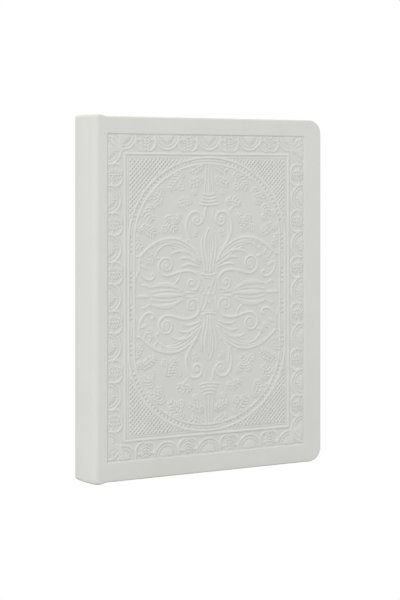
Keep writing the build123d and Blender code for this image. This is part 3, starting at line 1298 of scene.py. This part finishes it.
    def sprigs(self, relief: Relief) -> None:
        """Fill the field with small lobed leaves and ringed flowers.

        Args:
            relief: the field to press.
        """
        leaves = (((3.6, 74.2), (7.6, 72.6), (12.6, 69.8), 2.3, 5),
                  ((3.8, 66.8), (8.2, 64.4), (13.6, 62.6), 2.4, 5),
                  ((17.2, 69.6), (21.6, 65.0), (26.0, 59.6), 2.9, 7),
                  ((30.2, 60.6), (33.2, 55.6), (33.4, 50.4), 2.6, 6),
                  ((11.4, 53.0), (16.4, 53.2), (21.8, 51.0), 2.3, 5),
                  ((37.6, 51.2), (39.4, 46.4), (37.0, 41.8), 2.5, 6),
                  ((27.2, 45.4), (25.4, 40.4), (21.6, 35.8), 2.6, 6),
                  ((18.6, 45.6), (21.2, 43.6), (23.0, 40.8), 1.9, 4),
                  ((44.0, 39.6), (39.8, 37.0), (35.0, 33.8), 2.5, 6),
                  ((48.6, 39.0), (45.8, 38.4), (43.2, 36.4), 1.6, 4),
                  ((47.6, 34.6), (46.6, 30.0), (43.6, 26.8), 2.2, 5),
                  ((20.4, 76.0), (14.6, 73.6), (11.0, 75.4), 1.6, 4),
                  ((41.6, 54.4), (37.4, 57.6), (33.4, 62.0), 2.1, 5),
                  ((28.8, 66.4), (25.0, 69.4), (20.8, 71.6), 1.8, 4))
        for *line, width, lobes in leaves:
            relief.leaf(through(line, 9), width * 1.15, lobes, 0.42)
        flowers = (((18.6, 61.6), 1.9), ((29.4, 37.8), 1.8), ((44.8, 46.6), 1.6), ((9.4, 58.6), 1.5))
        for centre, radius in flowers:
            relief.ridge(arc(centre, radius, 0, 360, 22), 0.42, 0.34)
            relief.bead(centre, 0.85, 0.36)


# ---- leather -------------------------------------------------------------------------------------
@dataclass(frozen=True)
class Drape:
    """How the leather's surface strays from flat near the joints. Sizes are in millimetres."""

    sizes: Sizes
    dip: float = 0.04
    dip_offset: float = 0.2
    dip_reach: float = 1.7
    rise_full: float = 4.0
    rise_gone: float = 9.0
    rise_depth: float = 6.0

    def sink(self, x: np.ndarray | float) -> np.ndarray:
        """Depth of the joint's soft groove below the cover's face."""
        away = (np.asarray(x, float) - self.sizes.hinge[0] - self.dip_offset) / self.dip_reach
        return self.dip * np.cos(0.5 * math.pi * np.clip(away, -1, 1))**2

    def lift(self, points: np.ndarray) -> np.ndarray:
        """Carry the head and tail edges near the spine out to the height of its caps.

        Args:
            points: one row of X, Y, Z for each vertex.

        Returns:
            The same points with their heights changed.
        """
        away = points[:, 0] - self.sizes.spine.left
        share = smooth((self.rise_gone - away) / (self.rise_gone - self.rise_full))
        from_middle = points[:, 2] - self.sizes.mid_height
        near_end = smooth((abs(from_middle) - self.sizes.half_height + self.rise_depth) / self.rise_depth)
        lifted = points.copy()
        lifted[:, 2] += np.sign(from_middle) * self.sizes.cap_rise * share * near_end
        return lifted


def folded_section(height: float, low: float, gap: float, leather: float, turned: float,
                   depth: float, radius: float) -> Path:
    """Section of leather that is folded over at both ends and pasted down inside.

    Args:
        height: height of the upper fold.
        low: height of the lower fold.
        gap: room between the leather and its turned-in part.
        leather: thickness of the leather.
        turned: thickness of the turned-in part.
        depth: reach of the turned-in part from the fold.
        radius: radius of the fold's outer edge.

    Returns:
        One row of depth and height for each point of the closed outline.
    """
    back = leather + gap + turned
    inner = TURN_IN_ROUNDING * turned
    half = np.vstack((arc((radius, height - radius), radius, 180, 90, 7),
                      arc((back - inner, height - inner), inner, 90, 0, 4),
                      [(back, height - depth + inner), (back - inner, height - depth),
                       (back - turned, height - depth)]))
    if gap:
        half = np.vstack((half, [(back - turned, height - leather), (leather, height - leather)]))
    mirrored = half[::-1] * (1, -1) + (0, height + low)
    rungs = np.linspace(height - 2 * depth, low + 2 * depth, 6)
    inside = np.column_stack((np.full(len(rungs), leather), rungs))
    outside = np.column_stack((np.zeros(len(rungs)), rungs[::-1]))
    return np.vstack((half, inside, mirrored, outside))


def join_rings(rings: Sequence[np.ndarray]) -> tuple[np.ndarray, Faces]:
    """Join equal rings of points, one after another, into a shell closed at both ends.

    Args:
        rings: for each ring one row of X, Y, Z for each of its points.

    Returns:
        The points in millimetres and the faces.
    """
    numbers = np.arange(len(rings) * len(rings[0])).reshape(len(rings), -1).tolist()
    faces = [numbers[0], numbers[-1]]
    for first, second in zip(numbers, numbers[1:]):
        faces += join_loops(first, second, closed=True)
    return np.vstack(rings), faces


def sweep(section: Path, route: Path, inwards: Path) -> tuple[np.ndarray, Faces]:
    """Carry an upright section along a level route.

    Args:
        section: closed outline as depth and height.
        route: X and Y of the outer face at each station.
        inwards: the way in at each station.

    Returns:
        The points in millimetres and the faces of a closed shell.
    """
    return join_rings([np.column_stack((place + np.outer(section[:, 0], inward), section[:, 1]))
                       for place, inward in zip(route, inwards)])


def place_piece(piece: bpy.types.Object, slot: str, *stands_for: str) -> None:
    """Hide the nodes that a piece stands for, and log its triangle count.

    Args:
        piece: the piece.
        slot: material slot in the record; not used.
        stands_for: nodes that the piece replaces.
    """
    if stands_for:
        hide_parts(*stands_for)
    LOG.info("%s: %d triangles", piece.name,
             sum(len(face.vertices) - 2 for face in piece.data.polygons))


@dataclass(frozen=True)
class CoverSkin:
    """Leather of one cover: its face, its rounded edges and the part turned in over the board.

    The face is a grid of columns and rows. Its first columns stand at joint_columns from the joint;
    panel_strips are the plain widths left at the fore-edge, the tail and the head of a pressed one.
    """

    sizes: Sizes
    drape: Drape
    side: Side
    pressed: bool
    triangles: int = 190_000
    sharp: float = 62.0
    fold_radius: float = 0.45
    wall_reach: float = 0.2
    joint_columns: tuple[float, ...] = (0.0, 0.2, 0.45, 0.75, 1.1)
    plain_start: float = 2.5
    plain_columns: int = 12
    plain_rows: int = 20
    panel_strips: tuple[float, float, float] = (1.1, 0.5, 0.2)

    def profile(self) -> Path:
        """Section of the cover's rim.

        Returns:
            Distance inside the outline and depth below the face, from the face round to the back
            of the leather.
        """
        s, r, fold = self.sizes, self.sizes.edge_radius, self.fold_radius
        edge = arc((r, r), r, 270, 180, 7)
        back = arc((fold, s.depth - fold), fold, 180, 90, 5)
        ends = [(s.turn_in - self.wall_reach, s.depth), (s.turn_in, s.depth - self.wall_reach),
                (s.turn_in, s.depth - s.turned), (s.leather, s.depth - s.turned),
                (s.leather, s.leather), (s.corner_radius, s.leather)]
        rows = [(s.corner_radius * share, 0.0) for share in (1.0, 0.6, 0.3)]
        return np.vstack((rows, edge, back, ends))

    def field(self) -> tuple[np.ndarray, np.ndarray, np.ndarray]:
        """Lay out the face inside the rounded corners.

        Returns:
            X of the columns, Z of the rows, and the depth below the face at each.
        """
        s = self.sizes
        left, right = s.flex[1], s.cover.right - s.corner_radius
        low, high = s.cover.foot + s.corner_radius, s.cover.head - s.corner_radius
        near = left + np.array(self.joint_columns)
        if not self.pressed:
            xs = np.concatenate((near, np.linspace(left + self.plain_start, right, self.plain_columns)))
            zs = np.linspace(low, high, self.plain_rows)
            return xs, zs, np.tile(self.drape.sink(xs), (len(zs), 1))
        panel = s.panel
        across, up, height = PressedPanel(panel.half_width, panel.half_height).build().whole()
        fore, tail, head = self.panel_strips
        xs = np.concatenate((near, panel.centre[0] + across, (right - fore, right)))
        zs = np.concatenate(((low, low + tail), panel.centre[1] + up, (high - head, high)))
        depth = np.tile(self.drape.sink(xs), (len(zs), 1))
        depth[2:-2, len(near):-2] -= height
        return xs, zs, depth

    def build(self, material: bpy.types.Material) -> bpy.types.Object:
        """Make the cover's leather.

        Args:
            material: its finish.

        Returns:
            The piece, riding on its cover.
        """
        s = self.sizes
        xs, zs, depth = self.field()
        outline = Outline(s.flex[1], s.cover.right, s.cover.foot, s.cover.head, s.corner_radius)
        points, faces = wrap_outline(outline, self.profile(), xs, zs, depth)
        rim = np.arange(len(points)) < len(points) - depth.size
        front = rim & (points[:, 1] < s.leather / 2)
        points[front, 1] += self.drape.sink(points[front, 0])
        points[:, 1] = self.side.value * (s.face - points[:, 1])
        points = self.drape.lift(points)
        piece = make_piece(f"{self.side.word}_cover_skin", points, faces, material,
                           self.triangles if self.pressed else 0, self.sharp)
        place_piece(piece, "cover_leather", f"{self.side.word}_cover_leather")
        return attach(piece, self.side.body)


@dataclass(frozen=True)
class SpineSkin:
    """Leather round the spine: crowned back, soft corners and folded caps."""

    sizes: Sizes
    drape: Drape
    crown_radius: float = 80.0
    corner_radius: float = 3.5
    stiffener: float = 0.8
    fold_radius: float = 1.5
    corner_stations: int = 14
    crown_stations: int = 19
    sharp: float = 50.0

    def route(self) -> tuple[Path, Path]:
        """Walk round the spine's outer face from the front joint to the back one.

        Returns:
            X and Y of each station, and the way in at each.
        """
        s = self.sizes
        r, big = self.corner_radius, self.crown_radius
        crown_centre = (s.spine.left + big, 0.0)
        rise = s.face - r
        corner_x = crown_centre[0] - math.sqrt((big - r)**2 - rise**2)
        lean = math.degrees(math.asin(rise / (big - r)))
        start = -90 - math.degrees(math.asin((corner_x - s.flex[0]) / r))
        corner_run = (start, -180 + lean, self.corner_stations)
        crown_run = (180 + lean, 180 - lean, self.crown_stations)

        def walk(corner: Path, crown: Path) -> Path:
            """Join one corner, the crown and the mirrored corner."""
            return np.vstack((corner, crown[1:-1], corner[::-1] * (1, -1)))

        outer = walk(arc((corner_x, -rise), r, *corner_run), arc(crown_centre, big, *crown_run))
        away = walk(arc((0, 0), 1.0, *corner_run), arc((0, 0), 1.0, *crown_run))
        sink = np.where(abs(outer[:, 1]) > rise, self.drape.sink(outer[:, 0]), 0.0)
        return outer - away * sink[:, None], -away

    def build(self, material: bpy.types.Material) -> bpy.types.Object:
        """Make the spine's leather.

        Args:
            material: its finish.

        Returns:
            The piece, riding on the book.
        """
        s = self.sizes
        section = folded_section(s.spine.head, s.spine.foot, self.stiffener, s.leather, s.turned,
                                 s.turn_in, self.fold_radius)
        points, faces = sweep(section, *self.route())
        piece = make_piece("spine_skin", points, faces, material, sharp=self.sharp)
        place_piece(piece, "cover_leather", "spine_leather")
        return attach(piece, "book")


@dataclass(frozen=True)
class JointStrip:
    """Strip of leather at the joint between the spine and one cover."""

    sizes: Sizes
    drape: Drape
    side: Side
    columns: int = 17
    fold_radius: float = 0.9
    ease_share: float = 0.4
    sharp: float = 50.0

    def build(self, material: bpy.types.Material) -> bpy.types.Object:
        """Make the strip.

        Args:
            material: its finish.

        Returns:
            The piece.
        """
        s, sign = self.sizes, self.side.value
        section = folded_section(s.cover.head, s.cover.foot, 0.0, s.leather, s.turned, s.turn_in,
                                 self.fold_radius)
        xs = np.linspace(*s.flex, self.columns)
        first = SpineSkin(s, self.drape).route()[0][0]
        start_dip = s.face - abs(first[1]) - float(self.drape.sink(first[0]))
        ease = 1 - smooth((xs - xs[0]) / (self.ease_share * (xs[-1] - xs[0])))
        ys = s.face - self.drape.sink(xs) - start_dip * ease
        route = np.column_stack((xs, sign * ys))
        inwards = np.tile((0.0, -float(sign)), (len(xs), 1))
        points, faces = sweep(section, route, inwards)
        piece = make_piece(f"{self.side.word}_joint_leather", self.drape.lift(points), faces,
                           material, sharp=self.sharp)
        place_piece(piece, "cover_leather")
        y, z = sign * s.face * MM, s.mid_height * MM
        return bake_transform(piece, "book", self.side.body, (s.flex[0] * MM, y, z), (s.flex[1] * MM, y, z))


# ---- paper ---------------------------------------------------------------------------------------
@dataclass(frozen=True)
class Pages:
    """Page block, flyleaves, pastedowns and the folds that join them."""

    sizes: Sizes
    corner_radius: float = 5.0
    leaf: float = 0.2
    stray: float = 0.12
    gap_depth: float = 0.07
    paper: float = 0.2
    step: float = 1.2
    step_lead: float = 0.1
    lip_share: float = 0.2
    fold_hold: float = 0.1

    def outline(self, box: Box) -> Outline:
        """Outline of a sheet that fills a node's box."""
        return Outline(box.left, box.right, box.foot, box.head, self.corner_radius)

    def slab(self, name: str, box: Box, profile: Sequence[Point], material: bpy.types.Material,
             side: Side = Side.BACK) -> bpy.types.Object:
        """Make a flat piece from its rim's section.

        Args:
            name: the piece's name.
            box: the node's box, which gives the outline.
            profile: distance inside the outline and distance from the book's middle plane of each
                point of the rim.
            material: its finish.
            side: the side of the middle plane on which those distances lie.

        Returns:
            The piece.
        """
        line = self.outline(box)
        xs = np.linspace(line.left, line.right - line.corner, 3)
        zs = np.linspace(line.low + line.corner, line.high - line.corner, 3)
        rim = [(inset, side.value * y) for inset, y in profile]
        return make_piece(name, *wrap_outline(line, rim, xs, zs), material)

    def block(self, material: bpy.types.Material) -> bpy.types.Object:
        """Make the page block, whose leaves stand out unevenly at the trimmed edges.

        Args:
            material: its finish.

        Returns:
            The piece, riding on the book.
        """
        rng = np.random.default_rng(SEED)
        box = self.sizes.pages
        low, high = box.front, box.back
        count = round((high - low) / self.leaf)
        edges = np.linspace(low, high, count + 1)
        profile: list[Point] = []
        for start, end, stray in zip(edges, edges[1:], rng.uniform(0, self.stray, count)):
            lip = self.lip_share * (end - start)
            profile += [(stray + self.gap_depth, float(start)), (float(stray), float(start + lip)),
                        (float(stray), float(end - lip)), (stray + self.gap_depth, float(end))]
        piece = self.slab("page_block", box, profile, material)
        place_piece(piece, "pages", "text_block")
        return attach(piece, "book")

    def flyleaf(self, side: Side, material: bpy.types.Material) -> bpy.types.Object:
        """Make one flyleaf.

        Args:
            side: the cover it faces.
            material: its finish.

        Returns:
            The piece, riding on the book.
        """
        inner = abs(self.sizes.pages.front)
        outer = inner + self.paper
        lip = self.lip_share * self.paper
        profile = [(lip, inner), (0.0, inner + lip), (0.0, outer - lip), (lip, outer)]
        piece = self.slab(f"{side.word}_flyleaf_sheet", self.sizes.flyleaf, profile, material, side)
        place_piece(piece, "endpaper", f"{side.word}_flyleaf")
        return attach(piece, "book")

    def pastedown(self, side: Side, material: bpy.types.Material) -> bpy.types.Object:
        """Make one pastedown, which steps down softly from the turned-in leather to the board.

        Args:
            side: the cover it lines.
            material: its finish.

        Returns:
            The piece, riding on its cover.
        """
        s = self.sizes
        board_face = s.face - s.depth + s.turned
        top = board_face - s.turned - self.paper
        edge = s.turn_in - (s.cover.right - s.pastedown.right)
        lip = self.lip_share * self.paper
        fall = np.linspace(1, 0, 7)
        upper = [(edge + self.step * (t - self.step_lead), top + s.turned * float(smooth(t)))
                 for t in fall]
        lower = [(edge + self.step * t, y + self.paper)
                 for t, y in ((0.0, top), (1.0, top + s.turned))]
        profile = [*upper, (lip, top), (0.0, top + lip), (0.0, top + self.paper - lip),
                   (lip, top + self.paper), *lower]
        piece = self.slab(f"{side.word}_pastedown_sheet", s.pastedown, profile, material, side)
        place_piece(piece, "endpaper", f"{side.word}_pastedown")
        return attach(piece, side.body)

    def fold(self, side: Side, material: bpy.types.Material) -> bpy.types.Object:
        """Make the endpaper's fold in the joint, from the flyleaf's edge to the pastedown's.

        Args:
            side: the joint it lies in.
            material: its finish.

        Returns:
            The piece.
        """
        s, half = self.sizes, self.paper / 2
        near = s.flyleaf.left + half
        far = s.pastedown.left - half
        top = abs(s.pages.front) + half
        floor = s.face - s.leather - s.turned - 2 * self.paper
        reach = (far - near) / 2
        bend = arc((near + reach, floor - reach), reach, 180, 0, 15) * (1, -1)
        bend += (0, 2 * (floor - reach))
        line = np.vstack(([(near, y) for y in np.linspace(top, floor - reach, 5)[:-1]], bend,
                          [(far, y) for y in np.linspace(floor - reach, top + s.turned, 5)[1:]]))
        steps = np.gradient(line, axis=0)
        steps /= np.linalg.norm(steps, axis=1)[:, None]
        across = np.column_stack((-steps[:, 1], steps[:, 0])) * half
        ring = np.vstack((line + across, (line - across)[::-1])) * (1, side.value)
        points = np.vstack([np.column_stack((ring, np.full(len(ring), z)))
                            for z in (s.flyleaf.foot, s.flyleaf.head)])
        count = len(ring)
        lower, upper = list(range(count)), list(range(count, 2 * count))
        faces = join_loops(lower, upper, closed=True)
        for loop in (lower, upper):
            for i in range(count // 2 - 1):
                faces.append([loop[i], loop[i + 1], loop[count - 2 - i], loop[count - 1 - i]])
        piece = make_piece(f"{side.word}_endpaper_fold", points, faces, material)
        place_piece(piece, "endpaper")
        y, z = side.value * s.face * MM, s.mid_height * MM
        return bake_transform(piece, "book", side.body, ((near + self.fold_hold) * MM, y, z), (far * MM, y, z))


@dataclass(frozen=True)
class ThreadBand:
    """Head or tail band: a cord wound with thread, on a tape glued to the spine of the pages."""

    sizes: Sizes
    node: str
    radius: float = 1.0
    tape: float = 0.3
    wrap_pitch: float = 1.1
    wrap_depth: float = 0.07
    samples_per_wrap: int = 8

    def build(self, material: bpy.types.Material) -> bpy.types.Object:
        """Make the band.

        Args:
            material: its finish.

        Returns:
            The piece, riding on the book.
        """
        box, pages = Box.of(self.node), self.sizes.pages
        up = 1 if box.head > self.sizes.mid_height else -1
        rest = pages.head if up > 0 else pages.foot
        foot = box.foot if up > 0 else box.head
        bead = arc((0, 0), 1.0, 180, 0, 15)
        wraps = round((box.back - box.front) / self.wrap_pitch)
        ys = np.linspace(box.front, box.back, wraps * self.samples_per_wrap + 1)
        rings = []
        for y in ys:
            wrap = abs(math.sin(math.pi * (y - ys[0]) / self.wrap_pitch))
            radius = self.radius - self.wrap_depth * (1 - wrap)
            turn = bead * radius + (box.left + self.radius, 0)
            tape = box.left + self.tape
            ring = np.vstack((turn, [(tape, 0.0), (tape, up * (foot - rest)),
                                     (box.left, up * (foot - rest))]))
            rings.append(np.column_stack((ring[:, 0], np.full(len(ring), y), rest + up * ring[:, 1])))
        piece = make_piece(f"{self.node}_thread", *join_rings(rings), material)
        place_piece(piece, "headband", self.node)
        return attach(piece, "book")


# ---- studio --------------------------------------------------------------------------------------
@dataclass(frozen=True)
class Studio:
    """Pale floor and sky, one large soft light from the upper left, and the camera, in metres."""

    floor_size: float = 6.0
    floor_drop: float = 2e-4
    white: float = 1.0
    bounce: float = 0.55
    world: float = 0.885
    key_direction: tuple[float, float, float] = (-0.77, -0.44, 0.46)
    key_distance: float = 3.2
    key_size: float = 1.5
    key_power: float = 20.0
    camera_place: tuple[float, float, float] = (-0.5132, -0.8480, 0.1696)
    camera_azimuth: float = -31.18
    lens: float = 102.45
    sensor: float = 36.0
    shift: float = -0.2035

    def split(self, tree: bpy.types.NodeTree, output: str, lighting: bpy.types.Node,
              shown: bpy.types.Node) -> None:
        """Light the object by one shader while the camera sees another.

        Args:
            tree: the floor's or the sky's nodes.
            output: Blender's name for their output node.
            lighting: the shader that lights the object.
            shown: the shader that the camera sees.
        """
        mix = tree.nodes.new("ShaderNodeMixShader")
        rays = tree.nodes.new("ShaderNodeLightPath")
        tree.links.new(rays.outputs["Is Camera Ray"], mix.inputs[0])
        tree.links.new(lighting.outputs[0], mix.inputs[1])
        tree.links.new(shown.outputs[0], mix.inputs[2])
        tree.links.new(mix.outputs[0], tree.nodes.new(output).inputs[0])

    def floor_paint(self) -> bpy.types.Material:
        """Make the floor's material: white to the camera, pale grey to the object.

        Returns:
            The material.
        """
        material = bpy.data.materials.new("studio_white")
        material.use_nodes = True
        tree = material.node_tree
        tree.nodes.clear()
        matt = tree.nodes.new("ShaderNodeBsdfDiffuse")
        matt.inputs["Color"].default_value = (self.bounce, self.bounce, self.bounce, 1)
        glow = tree.nodes.new("ShaderNodeEmission")
        glow.inputs["Strength"].default_value = self.white
        self.split(tree, "ShaderNodeOutputMaterial", matt, glow)
        return material

    def floor(self) -> None:
        """Lay the floor, level with the book's foot."""
        half = self.floor_size / 2
        mesh = bpy.data.meshes.new("floor")
        mesh.from_pydata([(-half, -half, 0), (half, -half, 0), (half, half, 0), (-half, half, 0)], [],
                         [(0, 1, 2, 3)])
        mesh.materials.append(self.floor_paint())
        floor = bpy.data.objects.new("floor", mesh)
        bpy.context.scene.collection.objects.link(floor)
        floor.location.z = float(cad_bounds[0][2]) - self.floor_drop

    def sky(self) -> None:
        """Surround the scene with white that lights it a little less brightly."""
        world = bpy.data.worlds.new("studio")
        world.use_nodes = True
        tree = world.node_tree
        tree.nodes.clear()
        backs = []
        for strength in (self.world, self.white):
            backs.append(tree.nodes.new("ShaderNodeBackground"))
            backs[-1].inputs["Strength"].default_value = strength
            backs[-1].inputs["Color"].default_value = (1, 1, 1, 1)
        self.split(tree, "ShaderNodeOutputWorld", *backs)
        bpy.context.scene.world = world

    def lights(self, centre: Vector) -> None:
        """Hang the key light.

        Args:
            centre: the point it is aimed at.
        """
        data = bpy.data.lights.new("key", "AREA")
        data.shape = "DISK"
        data.size = self.key_size
        data.energy = self.key_power
        light = bpy.data.objects.new("key", data)
        way = Vector(self.key_direction).normalized()
        light.location = centre + way * self.key_distance
        light.rotation_euler = way.to_track_quat("Z", "Y").to_euler()
        bpy.context.scene.collection.objects.link(light)

    def camera(self) -> None:
        """Set the camera up, level and at the book's side."""
        data = bpy.data.cameras.new("camera")
        data.lens = self.lens
        data.sensor_width = self.sensor
        data.shift_y = self.shift
        camera = bpy.data.objects.new("camera", data)
        camera.location = self.camera_place
        camera.rotation_euler = (math.radians(90), 0, math.radians(self.camera_azimuth))
        bpy.context.scene.collection.objects.link(camera)
        bpy.context.scene.camera = camera

    def build(self) -> None:
        """Set up the whole studio."""
        scene = bpy.context.scene
        scene.view_settings.view_transform = "Standard"
        low, high = cad_bounds
        self.floor()
        self.sky()
        self.lights((Vector(low) + Vector(high)) / 2)
        self.camera()


def dress_nodes(finishes: dict[str, bpy.types.Material]) -> None:
    """Give the nodes that stay in view their finishes.

    Args:
        finishes: material for each node.
    """
    for node, material in finishes.items():
        mesh = frame["nodes"][node].data
        mesh.materials.clear()
        mesh.materials.append(material)
        LOG.info("%s: dressed", node)


def main() -> None:
    """Build the journal's looks and the studio."""
    logging.basicConfig(level=logging.INFO, format="%(name)s | %(message)s")
    sizes = Sizes.of_frame()
    drape = Drape(sizes)
    leather = SmoothLeather().build()
    face = -sizes.face * MM
    # Its colour gets painted shade that darkens into the pits and recesses of the pressed panel.
    pressed_leather_painted_shade = SmoothLeather(pressed=(face, face + PressedPanel.deepest * MM)).build()
    for side in Side:
        pressed = side is Side.FRONT
        CoverSkin(sizes, drape, side, pressed).build(pressed_leather_painted_shade if pressed else leather)
        JointStrip(sizes, drape, side).build(leather)
    SpineSkin(sizes, drape).build(leather)
    paper = LaidPaper().build()
    pages = Pages(sizes)
    pages.block(TrimmedPages().build())
    for side in Side:
        pages.flyleaf(side, paper)
        pages.pastedown(side, paper)
        pages.fold(side, paper)
    thread = BandThread().build()
    for node in ("head_band", "tail_band"):
        ThreadBand(sizes, node).build(thread)
    board = Millboard("millboard", (0.36, 0.34, 0.31), (0.26, 0.245, 0.22)).build()
    dress_nodes({"front_board": board, "back_board": board,
                 "spine_stiffener": Millboard("card", (0.62, 0.60, 0.55), (0.52, 0.50, 0.45)).build(),
                 "spine_lining": Millboard("kraft_paper", (0.45, 0.32, 0.19), (0.36, 0.25, 0.14)).build(),
                 "spine_mull": OpenCloth().build()})
    Studio().build()


if __name__ == "__main__":
    main()
